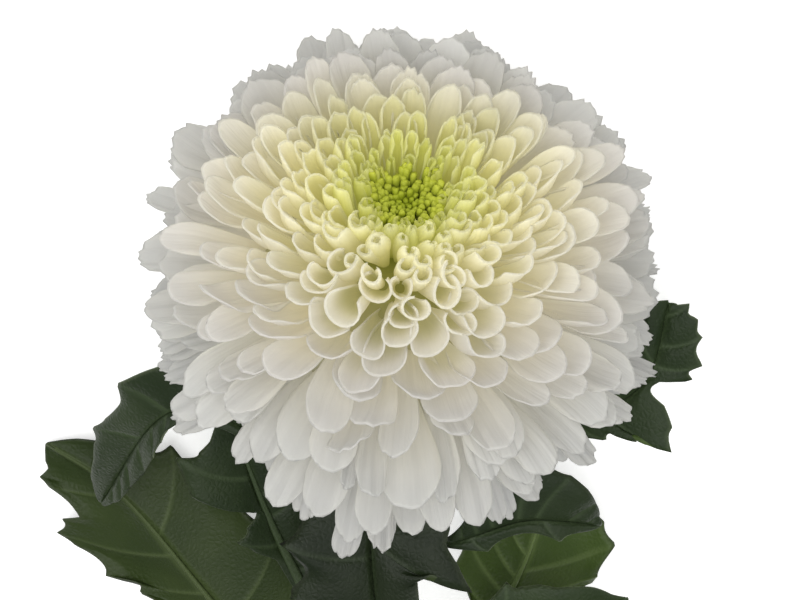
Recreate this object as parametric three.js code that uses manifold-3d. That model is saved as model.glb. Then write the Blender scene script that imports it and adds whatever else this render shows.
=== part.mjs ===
// Disbud chrysanthemum: one large white flower on its cut, leafy stem, lying on its side.
// Millimetres. +Z is up, the flower faces +Y and its stem runs towards -Y along the surface z = 0.
// The origin is on the surface, under the middle of the flower.
import * as THREE from "three";
import { mergeVertices } from "three/addons/utils/BufferGeometryUtils.js";
import Module from "manifold-3d";

const wasm = await Module();
wasm.setup();

const DEGREE = Math.PI / 180;
const GOLDEN_ANGLE = 137.508 * DEGREE;
const CLEARANCE = 0.35; // between pieces that touch on the plant

// Pose of the flower
const HEAD_MIDDLE = new THREE.Vector3(-0.4, -0.1, 58);
const HEAD_TILT = 25 * DEGREE; // how far its face looks up
const HEAD_YAW = 4 * DEGREE; // and to the side
const HEAD_ROLL = 312 * DEGREE; // how far it is turned about its own axis
// Petals below a height are pressed by the weight: they sink up to a limit and slide back
const SOFT_HEIGHT = 14;
const SOFT_LIMIT = 20;
const SLIDE = 0.8;
const GROUND_SIZE = 200; // block that cuts off what still reaches under the surface

// Core that the petals grow from, as distances from the flower's middle by polar angle in degrees
const CORE = [[0, 31], [100, 33], [120, 31], [140, 24], [160, 19], [180, 18]];
const CORE_ROWS = [18, 36, 54, 72, 90, 106, 122]; // polar angles of its rings down to the bract cup
const CORE_SIDES = 24;
const PIT_RADIUS = 8.3;
const PIT_FLOOR = 24.7;

// Ray petals by polar angle from the flower's axis, in degrees
const REACH = [
  [0, 37], [10, 39], [16, 43], [22, 48], [32, 54], [44, 60],
  [54, 64], [66, 65], [90, 64.5], [118, 65.5], [130, 65],
];
const SPACING = [
  [0, 2.4], [14, 2.8], [19, 3.6], [24, 4.5], [34, 5.8], [46, 7.2],
  [62, 9.2], [90, 11.5], [130, 13],
];
const HALF_WIDTH = [
  [0, 2], [12, 2.3], [17, 3], [24, 4], [34, 5.2], [46, 6.2],
  [62, 7.4], [90, 8.8], [130, 9.2],
];
const RECURVE = [
  [0, -8], [15, -10], [25, -8], [38, 0], [55, 6], [70, 18],
  [90, 26], [110, 26], [130, 20],
];
const CUP = [[0, 1.4], [34, 1.4], [62, 1.15], [90, 0.85], [130, 0.75]];
const PETAL_SEED = 11;
const FIRST_PETAL = 22;
const LAST_PETAL = 127;
const PETAL_GAP = 1.5; // the petals are this much further apart than life,
const PETAL_SCALE = 1.15; // and this much wider
const PETAL_THICKNESS = 1.2;
const PETAL_RANDOM = { reach: 0.03, recurve: 4, azimuth: 0.08 };
// Sections of a petal: share of its length, and width as a share of the full one
const PETAL_SECTIONS = [[0.36, 0.27], [0.6, 0.73], [0.84, 1], [1, 0.5]];
const TIP_CURL = 0.3; // how far the tip rises over the petal's floor, as a share of its half width
const ROOT_DISTANCE = 9;
const ROOT_LEAN = 0.8; // polar angle of the root as a share of the tip's
const LEAVING_LEAN = 0.86; // and of the way that the petal leaves it
const LEAVING_RECURVE = -0.35;
const ROOT_HANDLE = 0.38; // handles of the petal's curve, as shares of its chord
const TIP_HANDLE = 0.34;

// Green florets in the middle
const FLORETS = 32;
const FLORET_SPREAD = 13.5; // polar angle of the outermost, in degrees
const FLORET_RADIUS = 1.25;
const FLORET_SIDES = 5;
const FLORET_SEED = 5;
const FLORET_UNEVEN = 1.2;
// Sections of a floret: share of its length, and width as a share of the full one
const FLORET_SECTIONS = [[0, 0.45], [0.75, 1], [1, 0.5]];
const FLORET_ROOT_SPREAD = 0.6; // how close together the roots are, next to the tops
const FLORET_ROOT_HEIGHT = 2.5; // over the button's floor
// Button that carries them
const BUTTON_RADIUS = PIT_RADIUS - 0.45;
const BUTTON_SHOULDER = 5.5;
const BUTTON_HEIGHTS = [0, 4, 7, 8]; // of its floor, side, shoulder and middle
const BUTTON_SIDES = 16;

// Green cup of bracts behind the flower
const CUP_RIM = 138; // polar angle, in degrees
const CUP_ROWS = [149, 160, 172];
const CUP_THICKNESS = 1.5;
const RIM_THICKNESS = 1.2;
const BRACTS = 16;
const BRACT_TIP = 4; // how far each bract passes the rim, in degrees
const BRACT_RIB = 0.5;

// Stem, from the flower's base to the cut
const STEM_TOP = 20.8; // distance behind the flower's middle
const STEM_PATH = [
  [-3.2, -46, 38.6], [-3, -85, 31], [0, -140, 24.5], [3, -200, 18.5],
  [4, -270, 12], [2, -340, 5.8], [0, -372, 3.1],
];
const STEM_RADIUS_TOP = 2.7;
const STEM_RADIUS_CUT = 3.5;
const STEM_FLARE = 0.9; // how much thicker it is where it meets the flower,
const FLARE_LENGTH = 9; // over this length
const STEM_FLUTES = 6;
const FLUTE_RIDGE = 1.03; // shares of the radius
const FLUTE_HOLLOW = 0.93;
const STEM_STEPS = 36;
const NODE_SWELLING = 0.5; // where a leaf joins
const NODE_LENGTH = 3;
const CUT_SLANT = 0.5;

// Leaves. Each leaves the stem at a distance from its top, turned about it (0 is +X, 90 is up), and its rib
// then runs through the points. Its upper face looks along facing, and half is its half width.
const LEAVES = [
  {
    at: 38,
    turn: 0,
    facing: [0.1, 0.2, 1],
    half: 21,
    through: [[27, -61, 24], [50, -53, 26], [65, -40, 29], [70, -18, 28]],
  },
  {
    at: 50,
    turn: 180,
    facing: [-0.3, 0.3, 1],
    half: 19,
    through: [[-30, -56, 38], [-50, -48, 39], [-64, -50, 36], [-80, -86, 14]],
  },
  {
    at: 66,
    turn: 10,
    facing: [0.2, 0, 1],
    half: 18,
    through: [[14, -84, 38], [32, -78, 38], [46, -79, 35], [57, -83, 29]],
  },
  {
    at: 92,
    turn: 90,
    facing: [0, -0.3, 1],
    half: 25,
    through: [[-4, -106, 43], [-6, -96, 45], [-7, -82, 42], [-6, -70, 37]],
  },
  {
    at: 112,
    turn: 180,
    facing: [0.4, 0, 1],
    half: 22,
    through: [[-17, -126, 24], [-27, -105, 22], [-36, -82, 22], [-46, -50, 22]],
  },
  {
    at: 128,
    turn: 0,
    facing: [0, 0, -1],
    half: 23,
    through: [[20, -135, 17], [33, -106, 17], [38, -91, 17], [44, -77, 14]],
  },
  {
    at: 148,
    turn: 190,
    facing: [0, 0.1, -1],
    half: 25,
    through: [[-30, -147, 14], [-51, -117, 13], [-75, -86, 9], [-95, -73, 4]],
  },
  {
    at: 152,
    turn: 40,
    facing: [0, 0.2, 1],
    half: 21,
    through: [[14, -148, 31], [33, -120, 34], [46, -108, 36], [62, -104, 30]],
  },
  {
    at: 176,
    turn: 110,
    facing: [-0.2, 0.3, 1],
    half: 22,
    through: [[-14, -180, 32], [-34, -163, 38], [-54, -150, 26]],
  },
  {
    at: 205,
    turn: 345,
    facing: [0.1, 0.2, 1],
    half: 22,
    through: [[22, -208, 18], [45, -190, 18], [66, -172, 6]],
  },
  {
    at: 233,
    turn: 195,
    facing: [-0.1, 0.2, 1],
    half: 21,
    through: [[-16, -236, 15], [-38, -218, 15], [-58, -198, 5]],
  },
  {
    at: 262,
    turn: 60,
    facing: [-0.3, -0.3, 1],
    half: 20,
    through: [[14, -268, 26], [30, -252, 30], [48, -236, 18]],
  },
];
const STALK_SHARE = 0.24; // of the leaf's length
const STALK_WIDTH = 2.4;
const STALK_STEP = 4; // how far a leafstalk stands straight off the stem
const BLADE_THICKNESS = 0.7;
const RIB_DEPTH = 0.9;
const LEAF_FLOOR = 0.4;
const FOLD = 16 * DEGREE; // each half of a blade turns up by this much
const WAVE = 1.6; // how far the edges rise and fall
const WAVES = 13;
const UNEVEN = 0.06; // how unlike the two halves are
const STALK_SECTIONS = [0, 0.35, 0.7]; // shares of the stalk's length
const STALK_HEIGHTS = [0.8, 1]; // over and under its middle line
const LEAF_TIP = 0.3;

// Outline of a blade. Rows run out along the side veins, to the tips of lobes and teeth and to the bottoms of
// notches: where the row leaves the rib, its length as a share of the half width, its angle to the rib.
const BLADE = [
  [0, 0.12, 60], [0.07, 0.42, 64], [0.14, 0.3, 60], [0.21, 0.8, 62], [0.28, 0.95, 56], [0.36, 0.52, 52],
  [0.44, 1, 52], [0.52, 1.08, 46], [0.6, 0.6, 42], [0.67, 0.8, 38], [0.74, 0.62, 34], [0.82, 0.46, 30],
  [0.9, 0.24, 24], [1, 0.02, 20],
];

// Reads a value from a table of [position, value] rows, with straight lines between them
function lookUp(table, at) {
  let i = 1;
  while (i < table.length - 1 && at > table[i][0]) i += 1;
  const [x0, y0] = table[i - 1];
  const [x1, y1] = table[i];
  const t = Math.min(Math.max((at - x0) / (x1 - x0), 0), 1);
  return y0 + (y1 - y0) * t;
}

function smoothStep(from, to, value) {
  const t = Math.min(Math.max((value - from) / (to - from), 0), 1);
  return t * t * (3 - 2 * t);
}

// Repeatable random numbers from 0 to 1
function randomFrom(seed) {
  let state = seed;
  return () => {
    state = (state + 0x6d2b79f5) | 0;
    let t = Math.imul(state ^ (state >>> 15), 1 | state);
    t = (t + Math.imul(t ^ (t >>> 7), 61 | t)) ^ t;
    return ((t ^ (t >>> 14)) >>> 0) / 4294967296;
  };
}

function spread(random, size) {
  return (random() + random() + random() - 1.5) * size;
}

// The flower's own frame: its Z is the axis that the flower faces along
const headAxis = new THREE.Vector3(
  Math.sin(HEAD_YAW) * Math.cos(HEAD_TILT),
  Math.cos(HEAD_YAW) * Math.cos(HEAD_TILT),
  Math.sin(HEAD_TILT),
);
const headSide = new THREE.Vector3().crossVectors(headAxis, new THREE.Vector3(0, 0, 1)).normalize();
const headUp = new THREE.Vector3().crossVectors(headSide, headAxis);
const headFrame = new THREE.Matrix4()
  .makeBasis(headSide, headUp, headAxis)
  .setPosition(HEAD_MIDDLE);

// A solid from a closed geometry, with its corners merged
function solidOf(geometry) {
  const plain = geometry.index ? geometry.toNonIndexed() : geometry;
  const bare = new THREE.BufferGeometry().setAttribute("position", plain.getAttribute("position"));
  const merged = mergeVertices(bare, 1e-4);
  const solid = new wasm.Manifold(
    new wasm.Mesh({
      numProp: 3,
      vertProperties: new Float32Array(merged.attributes.position.array),
      triVerts: new Uint32Array(merged.index.array),
    }),
  );
  return solid;
}

function geometryOf(solid) {
  const mesh = solid.getMesh();
  const geometry = new THREE.BufferGeometry();
  geometry.setAttribute("position", new THREE.BufferAttribute(new Float32Array(mesh.vertProperties), 3));
  geometry.setIndex(new THREE.BufferAttribute(new Uint32Array(mesh.triVerts), 1));
  geometry.computeVertexNormals();
  return geometry;
}

// Closed surface through rings of points that all have the same count.
// A flipped quad is split along its other diagonal, so that thin blades split alike on both faces.
function loft(rings, flipped = []) {
  const count = rings[0].length;
  const points = rings.flat();
  const faces = [];
  for (let i = 0; i < rings.length - 1; i += 1) {
    for (let k = 0; k < count; k += 1) {
      const a = i * count + k;
      const b = i * count + ((k + 1) % count);
      const c = a + count;
      const d = b + count;
      if (flipped[k]) faces.push(a, b, c, b, d, c);
      else faces.push(a, b, d, a, d, c);
    }
  }
  // the ends are fans from the second point, which is the middle of a blade's upper face
  const last = (rings.length - 1) * count;
  for (let k = 2; k < count; k += 1) {
    const next = (k + 1) % count;
    faces.push(1, next, k, last + 1, last + k, last + next);
  }
  return closed(points, faces);
}

// Indexed geometry whose faces are turned to look out
function closed(points, faces) {
  let volume = 0;
  const cross = new THREE.Vector3();
  for (let i = 0; i < faces.length; i += 3) {
    const [a, b, c] = [points[faces[i]], points[faces[i + 1]], points[faces[i + 2]]];
    volume += a.dot(cross.crossVectors(b, c));
  }
  if (volume < 0) {
    for (let i = 0; i < faces.length; i += 3) [faces[i + 1], faces[i + 2]] = [faces[i + 2], faces[i + 1]];
  }
  const geometry = new THREE.BufferGeometry().setFromPoints(points);
  geometry.setIndex(faces);
  return geometry;
}

// Joins solids two by two, so that no join has to handle more than it needs
function joinAll(solids) {
  let level = solids;
  while (level.length > 1) {
    const next = [];
    for (let i = 0; i < level.length; i += 2) {
      next.push(i + 1 < level.length ? level[i].add(level[i + 1]) : level[i]);
    }
    level = next;
  }
  return level[0];
}

// The largest body of a solid: hollows that joining sealed are filled and loose scraps dropped
function mainBody(solid) {
  const bodies = solid.decompose();
  return bodies.reduce((best, body) => (body.volume() > best.volume() ? body : best));
}

// Petals near the surface give way instead of passing through it
function settle(point) {
  const depth = SOFT_HEIGHT - point.z;
  if (depth <= 0) return;
  const pressed = SOFT_LIMIT * Math.tanh(depth / SOFT_LIMIT);
  point.addScaledVector(new THREE.Vector3(headAxis.x, headAxis.y, 0), (pressed - depth) * SLIDE);
  point.z = SOFT_HEIGHT - pressed;
}

// Point in the flower's frame: along a direction at a polar angle and azimuth
function polar(distance, angle, azimuth) {
  const out = distance * Math.sin(angle);
  return new THREE.Vector3(out * Math.cos(azimuth), out * Math.sin(azimuth), distance * Math.cos(angle));
}

// Polar angles of the ray petals, so that each has its own patch of the flower's surface
function petalAngles() {
  const step = 0.05;
  const angles = [];
  let patches = 0.5;
  for (let psi = FIRST_PETAL; psi < LAST_PETAL; psi += step) {
    const ring = 2 * Math.PI * lookUp(REACH, psi) ** 2 * Math.sin(psi * DEGREE) * step * DEGREE;
    patches += ring / (lookUp(SPACING, psi) * PETAL_GAP) ** 2;
    if (patches >= 1) {
      angles.push(psi);
      patches -= 1;
    }
  }
  return angles;
}

// One ray petal: a cupped blade that leaves the core, widens and bends outwards
function petal(psi, azimuth, random) {
  const reach = lookUp(REACH, psi) * (1 + spread(random, PETAL_RANDOM.reach));
  const recurve = lookUp(RECURVE, psi) + spread(random, PETAL_RANDOM.recurve);
  const half = lookUp(HALF_WIDTH, psi) * PETAL_SCALE;
  const cup = lookUp(CUP, psi);
  const direction = (angle) => new THREE.Vector2(Math.sin(angle * DEGREE), Math.cos(angle * DEGREE));
  const root = direction(psi * ROOT_LEAN).multiplyScalar(ROOT_DISTANCE);
  const tip = direction(psi).multiplyScalar(reach);
  const chord = root.distanceTo(tip);
  const leaving = direction(psi * LEAVING_LEAN + recurve * LEAVING_RECURVE);
  const spine = new THREE.CubicBezierCurve(
    root,
    root.clone().addScaledVector(leaving, chord * ROOT_HANDLE),
    tip.clone().addScaledVector(direction(psi + recurve), -chord * TIP_HANDLE),
    tip,
  );
  const rings = PETAL_SECTIONS.map(([share, size]) => {
    const at = spine.getPointAt(share);
    const along = spine.getTangentAt(share);
    const inward = new THREE.Vector2(-along.y, along.x);
    const width = half * size;
    const curl = share === 1 ? half * TIP_CURL : 0;
    const across = (width / cup) * Math.sin(cup);
    const raise = (width / cup) * (1 - Math.cos(cup)) + curl;
    const place = (lift, sideways) => {
      const out = at.x + inward.x * lift;
      const height = at.y + inward.y * lift;
      return new THREE.Vector3(
        out * Math.cos(azimuth) - sideways * Math.sin(azimuth),
        out * Math.sin(azimuth) + sideways * Math.cos(azimuth),
        height,
      );
    };
    return [
      place(raise, -across),
      place(curl + PETAL_THICKNESS / 2, 0),
      place(raise, across),
      place(curl - PETAL_THICKNESS / 2, 0),
    ];
  });
  rings.flat().forEach((point) => settle(point.applyMatrix4(headFrame)));
  return loft(rings, [false, true, false, true]);
}

// Solid of revolution about the flower's axis, from [radius, height] rows that start and end on it
function turned(profile, segments) {
  const lathe = new THREE.LatheGeometry(profile.map(([r, h]) => new THREE.Vector2(r, h)), segments);
  lathe.rotateX(Math.PI / 2);
  lathe.applyMatrix4(headFrame);
  const merged = mergeVertices(lathe.deleteAttribute("normal").deleteAttribute("uv"), 1e-4);
  const points = [];
  for (let i = 0; i < merged.attributes.position.count; i += 1) {
    points.push(new THREE.Vector3().fromBufferAttribute(merged.attributes.position, i));
  }
  const faces = [];
  const index = merged.index.array;
  for (let i = 0; i < index.length; i += 3) {
    const [a, b, c] = [index[i], index[i + 1], index[i + 2]];
    if (a !== b && b !== c && c !== a) faces.push(a, b, c);
  }
  return closed(points, faces);
}

function corePoint(psi, extra = 0) {
  const distance = lookUp(CORE, psi) + extra;
  return [distance * Math.sin(psi * DEGREE), distance * Math.cos(psi * DEGREE)];
}

function makeBloom() {
  const profile = [[0, PIT_FLOOR], [PIT_RADIUS, PIT_FLOOR]];
  for (const psi of [...CORE_ROWS, CUP_RIM, ...CUP_ROWS]) profile.push(corePoint(psi));
  profile.push([0, corePoint(180)[1]]);
  const random = randomFrom(PETAL_SEED);
  const petals = petalAngles().map((psi, i) => {
    const azimuth = HEAD_ROLL + i * GOLDEN_ANGLE + spread(random, PETAL_RANDOM.azimuth);
    return solidOf(petal(psi, azimuth, random));
  });
  const whole = joinAll([solidOf(turned(profile, CORE_SIDES)), ...petals]);
  const ground = new THREE.BoxGeometry(GROUND_SIZE, GROUND_SIZE, GROUND_SIZE);
  ground.translate(0, 0, -GROUND_SIZE / 2);
  return geometryOf(mainBody(whole.subtract(solidOf(ground))));
}

function makeFlorets() {
  const [floor, wall, shoulder, middle] = BUTTON_HEIGHTS.map((height) => PIT_FLOOR + CLEARANCE + height);
  const button = [
    [0, floor],
    [BUTTON_RADIUS, floor],
    [BUTTON_RADIUS, wall],
    [BUTTON_SHOULDER, shoulder],
    [0, middle],
  ];
  const random = randomFrom(FLORET_SEED);
  const solids = [];
  for (let i = 0; i < FLORETS; i += 1) {
    const angle = Math.sqrt((i + 0.5) / FLORETS) * FLORET_SPREAD;
    const azimuth = i * GOLDEN_ANGLE;
    const reach = lookUp(REACH, angle) + spread(random, FLORET_UNEVEN);
    const top = polar(reach, angle * DEGREE, azimuth);
    const root = new THREE.Vector3(
      top.x * FLORET_ROOT_SPREAD,
      top.y * FLORET_ROOT_SPREAD,
      floor + FLORET_ROOT_HEIGHT,
    );
    const axis = top.clone().sub(root).normalize();
    const side = new THREE.Vector3(0, 1, 0).cross(axis).normalize();
    const other = new THREE.Vector3().crossVectors(axis, side);
    const rings = FLORET_SECTIONS.map(([share, size]) => {
      const centre = root.clone().lerp(top, share);
      const ring = [];
      for (let k = 0; k < FLORET_SIDES; k += 1) {
        const turn = (2 * Math.PI * k) / FLORET_SIDES + i;
        ring.push(
          centre
            .clone()
            .addScaledVector(side, Math.cos(turn) * size * FLORET_RADIUS)
            .addScaledVector(other, Math.sin(turn) * size * FLORET_RADIUS),
        );
      }
      return ring;
    });
    rings.flat().forEach((point) => point.applyMatrix4(headFrame));
    solids.push(solidOf(loft(rings)));
  }
  return geometryOf(mainBody(joinAll([solidOf(turned(button, BUTTON_SIDES)), ...solids])));
}

// Cup of bracts: each bract is a rib on its outside and a point on its rim
function makeBractCup() {
  const base = CUP_ROWS.at(-1);
  const inside = [...CUP_ROWS].reverse().map((psi) => [psi, 0, 0]);
  const outside = CUP_ROWS.map((psi) => [psi, CUP_THICKNESS, psi === base ? 0 : BRACT_RIB]);
  const rows = [...inside, [CUP_RIM, 0, 0], [CUP_RIM, RIM_THICKNESS, BRACT_RIB], ...outside];
  const rings = rows.map(([psi, thickness, rib]) => {
    const ring = [];
    for (let k = 0; k < BRACTS * 2; k += 1) {
      const ridge = k % 2;
      const tip = psi === CUP_RIM ? BRACT_TIP * ridge : 0;
      const extra = CLEARANCE + thickness + rib * ridge;
      const [out, height] = corePoint(psi - tip, extra);
      const azimuth = (Math.PI * k) / BRACTS;
      ring.push(new THREE.Vector3(out * Math.cos(azimuth), out * Math.sin(azimuth), height));
    }
    return ring;
  });
  rings.flat().forEach((point) => point.applyMatrix4(headFrame));
  return loft(rings);
}

// Centre line of the stem, which leaves the flower straight back along its axis
const stemTop = HEAD_MIDDLE.clone().addScaledVector(headAxis, -STEM_TOP);
const stemLine = new THREE.CatmullRomCurve3(
  [stemTop, ...STEM_PATH.map((row) => new THREE.Vector3(...row))],
  false,
  "catmullrom",
);
const stemLength = stemLine.getLength();

function stemRadius(distance) {
  let radius = STEM_RADIUS_TOP + (STEM_RADIUS_CUT - STEM_RADIUS_TOP) * (distance / stemLength);
  radius += STEM_FLARE * (1 - smoothStep(0, FLARE_LENGTH, distance));
  for (const leaf of LEAVES) {
    radius += NODE_SWELLING * Math.exp(-(((distance - leaf.at) / NODE_LENGTH) ** 2));
  }
  return radius;
}

function makeStem() {
  const rings = [];
  const corners = STEM_FLUTES * 2;
  for (let i = 0; i <= STEM_STEPS; i += 1) {
    const share = i / STEM_STEPS;
    const middle = stemLine.getPointAt(share);
    const along = stemLine.getTangentAt(share);
    const side = new THREE.Vector3(0, 0, 1).cross(along).normalize();
    const up = new THREE.Vector3().crossVectors(along, side);
    const radius = stemRadius(share * stemLength);
    const ring = [];
    for (let k = 0; k < corners; k += 1) {
      const turn = (2 * Math.PI * k) / corners;
      const r = radius * (k % 2 ? FLUTE_HOLLOW : FLUTE_RIDGE);
      const slant = i === STEM_STEPS ? r * Math.sin(turn) * CUT_SLANT : 0;
      ring.push(
        middle
          .clone()
          .addScaledVector(side, Math.cos(turn) * r)
          .addScaledVector(up, Math.sin(turn) * r)
          .addScaledVector(along, slant),
      );
    }
    rings.push(ring);
  }
  return loft(rings);
}

// A blade on its leafstalk: sections across the rib, swept forward along the side veins
function makeLeaf(leaf, index) {
  const start = stemLine.getPointAt(leaf.at / stemLength);
  const along = stemLine.getTangentAt(leaf.at / stemLength);
  const side = new THREE.Vector3(0, 0, 1).cross(along).normalize();
  const up = new THREE.Vector3().crossVectors(along, side);
  const turn = leaf.turn * DEGREE;
  const out = side.clone().multiplyScalar(Math.cos(turn)).addScaledVector(up, Math.sin(turn));
  const base = start.addScaledVector(out, stemRadius(leaf.at) * FLUTE_RIDGE + CLEARANCE);
  const step = base.clone().addScaledVector(out, STALK_STEP);
  const through = leaf.through.map((row) => new THREE.Vector3(...row));
  const spine = new THREE.CatmullRomCurve3([base, step, ...through], false, "catmullrom");
  const facing = new THREE.Vector3(...leaf.facing);
  const section = (share, left, right, angle, top, bottom, rise) => {
    const middle = spine.getPointAt(share);
    const forward = spine.getTangentAt(share);
    const across = new THREE.Vector3().crossVectors(forward, facing).normalize();
    const normal = new THREE.Vector3().crossVectors(across, forward);
    const reach = (length, sign) =>
      middle
        .clone()
        .addScaledVector(across, sign * length * Math.sin(angle) * Math.cos(FOLD))
        .addScaledVector(normal, length * Math.sin(angle) * Math.sin(FOLD) + rise * sign)
        .addScaledVector(forward, length * Math.cos(angle));
    const ring = [
      reach(left, -1).addScaledVector(normal, top),
      middle.clone().addScaledVector(normal, top),
      reach(right, 1).addScaledVector(normal, top),
      reach(right, 1).addScaledVector(normal, -top),
      middle.clone().addScaledVector(normal, -bottom),
      reach(left, -1).addScaledVector(normal, -top),
    ];
    for (const [a, b] of [[0, 5], [1, 4], [2, 3]]) {
      const lift = Math.max(0, LEAF_FLOOR - Math.min(ring[a].z, ring[b].z));
      ring[a].z += lift;
      ring[b].z += lift;
    }
    return ring;
  };
  const rings = STALK_SECTIONS.map((part) =>
    section(part * STALK_SHARE, STALK_WIDTH / 2, STALK_WIDTH / 2, Math.PI / 2, ...STALK_HEIGHTS, 0),
  );
  for (const [part, length, angle] of BLADE) {
    const share = STALK_SHARE + (1 - STALK_SHARE) * part;
    const reach = Math.max(leaf.half * length, STALK_WIDTH / 2);
    const uneven = UNEVEN * Math.sin(part * 9 + index * 2);
    const end = part === 1 ? LEAF_TIP : 1;
    const rise = WAVE * length * Math.sin(part * WAVES + index);
    rings.push(
      section(
        share,
        reach * (1 + uneven) * end,
        reach * (1 - uneven) * end,
        angle * DEGREE,
        BLADE_THICKNESS / 2,
        BLADE_THICKNESS / 2 + RIB_DEPTH * (1 - part),
        rise,
      ),
    );
  }
  return loft(rings, [false, true, false, false, true, false]);
}

const MATERIALS = {
  petal: new THREE.MeshStandardMaterial({ color: 0xf1efe6, roughness: 0.55, metalness: 0 }),
  floret: new THREE.MeshStandardMaterial({ color: 0xa8b52e, roughness: 0.6, metalness: 0 }),
  bract: new THREE.MeshStandardMaterial({ color: 0x6a7d45, roughness: 0.7, metalness: 0 }),
  stem: new THREE.MeshStandardMaterial({ color: 0x5f7242, roughness: 0.65, metalness: 0 }),
  leaf: new THREE.MeshStandardMaterial({ color: 0x35502c, roughness: 0.6, metalness: 0 }),
};

const flower = new THREE.Group();
function addPiece(name, geometry, material) {
  const mesh = new THREE.Mesh(geometry, material);
  mesh.name = name;
  flower.add(mesh);
}

addPiece("bloom", makeBloom(), MATERIALS.petal);
addPiece("centre_florets", makeFlorets(), MATERIALS.floret);
addPiece("bract_cup", makeBractCup(), MATERIALS.bract);
addPiece("stem", makeStem(), MATERIALS.stem);
LEAVES.forEach((leaf, i) => {
  addPiece("leaf_" + String(i + 1).padStart(2, "0"), makeLeaf(leaf, i), MATERIALS.leaf);
});

export default flower;
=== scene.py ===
"""Disbud chrysanthemum lying on a pale table: fine petals, leaves and stem over the CAD model.

Lengths are millimetres while shapes are made, and metres in Blender.
"""

import math

import bpy
import numpy as np
from mathutils import Matrix, Vector


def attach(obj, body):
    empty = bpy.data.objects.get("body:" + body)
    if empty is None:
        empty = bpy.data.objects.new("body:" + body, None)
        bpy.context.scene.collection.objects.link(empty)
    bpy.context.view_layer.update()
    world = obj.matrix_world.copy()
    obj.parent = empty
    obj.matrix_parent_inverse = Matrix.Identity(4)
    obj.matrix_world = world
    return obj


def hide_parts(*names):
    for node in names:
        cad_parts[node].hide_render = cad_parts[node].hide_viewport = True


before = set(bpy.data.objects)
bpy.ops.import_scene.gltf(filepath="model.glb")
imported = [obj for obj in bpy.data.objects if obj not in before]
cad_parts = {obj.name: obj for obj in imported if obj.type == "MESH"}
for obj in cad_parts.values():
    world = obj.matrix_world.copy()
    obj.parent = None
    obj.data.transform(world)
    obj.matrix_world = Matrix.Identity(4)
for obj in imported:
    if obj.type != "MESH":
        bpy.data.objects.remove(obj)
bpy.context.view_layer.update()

MM = 0.001
GOLDEN_ANGLE = math.radians(137.508)

# Pose of the flower, as in the CAD model
HEAD_MIDDLE = np.array([-0.4, -0.1, 58])
HEAD_TILT = math.radians(25)
HEAD_YAW = math.radians(4)
HEAD_ROLL = math.radians(312)
# Petals near the table give way and slide back along it
SOFT_HEIGHT = 14
SOFT_LIMIT = 13.7
SLIDE = 0.8

# Ray petals, by polar angle from the flower's axis in degrees: how far their tips reach, how far apart they
# stand and how far back their tips bend
REACH = [
    (0, 37), (10, 39), (16, 43), (22, 48), (32, 54), (44, 60), (54, 64), (66, 65), (90, 64.5), (118, 65.5),
    (130, 65),
]
SPACING = [
    (0, 2.4), (13, 2.9), (19, 3.7), (24, 4.4), (34, 5.5), (46, 7.2), (58, 9.2), (70, 10.8), (85, 11.6),
    (100, 11), (130, 10),
]
RECURVE = [(0, -8), (15, -10), (25, -8), (38, -2), (55, 2), (70, 10), (90, 16), (110, 18), (130, 16)]
# Petals round one place are trumpets, and the others are boats with hooded tips. Both shapes by polar angle:
# half width; half the angle that a section closes to in the tube, at the mouth and at the tip; flare of the
# mouth; length of the lip; how far the tip curls in; how much thicker the rim is.
LOOPS_AT = 38
LOOPS_WITHIN = (17, 28)
LOOP = {
    "half": [(0, 2), (15, 3.8), (20, 4.9), (27, 6), (34, 7), (46, 8.2), (58, 8.6), (70, 7.4), (130, 6)],
    "tube": [(15, 3), (30, 2.9), (48, 2.6), (62, 2.2), (130, 1.5)],
    "mouth": [(15, 3), (24, 3), (34, 3.05), (46, 2.9), (55, 2.4), (62, 1.9), (130, 1.2)],
    "tip": [(15, 3), (24, 2.9), (34, 2.9), (46, 2.6), (55, 1.8), (62, 1.3), (130, 1)],
    "flare": [(15, 0), (30, 0.04), (36, 0.12), (50, 0.14), (60, 0)],
    "lip": [(15, 0.12), (24, 0.2), (30, 0.26), (46, 0.24), (58, 0.34), (130, 0.5)],
    "curl": [(15, 0.3), (28, 0.3), (36, 0.2), (46, 0), (60, -0.1), (130, 0)],
    "bead": [(15, 0.2), (34, 0.4), (46, 0.4), (58, 0.1), (130, 0)],
}
BOAT = {
    "half": [
        (0, 2), (15, 3.6), (20, 4.6), (25, 5.4), (32, 6.2), (48, 7), (60, 7), (75, 6.4), (95, 5.8),
        (130, 5.4),
    ],
    "tube": [(15, 3), (24, 2.6), (34, 2.2), (48, 1.9), (62, 1.7), (95, 1.2), (130, 1)],
    "mouth": [
        (15, 2.9), (20, 2.4), (25, 2.1), (32, 1.85), (40, 1.7), (50, 1.45), (62, 1.2), (75, 1), (95, 0.8),
        (130, 0.7),
    ],
    "tip": [
        (15, 2.8), (24, 1.9), (32, 1.5), (40, 1.3), (50, 1.1), (62, 0.8), (75, 0.6), (95, 0.3), (130, 0.2),
    ],
    "flare": [(15, 0)],
    "lip": [(15, 0.12), (24, 0.25), (32, 0.4), (46, 0.55), (60, 0.65), (130, 0.6)],
    "curl": [(15, 0.3), (28, 0.5), (40, 0.8), (56, 0.7), (70, 0.3), (85, 0)],
    "bead": [(15, 0)],
}
ROOT_CLOSING = 2.6
TUBE_CLOSING = 1.9  # a section that closes further is a tube, which a bud's top closes from both sides
NARROW_ROOT = 0.26
LIP_LENGTH = 3.2  # times the half width
BUD_TOP = 0.84  # where a bud's top begins
TIP_BEND = 0.42  # how far a tip bends in or out, times the half width
# Spread of the petals' measures, what outer petals add to it, and the polar angles between which they do
SPREAD = {
    "reach": (0.03, 0.01, 60, 90),
    "recurve": (7, 5, 60, 90),
    "half": (0.13, 0.07, 60, 75),
    "tip": (0.15, 0.25, 45, 60),
}
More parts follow.
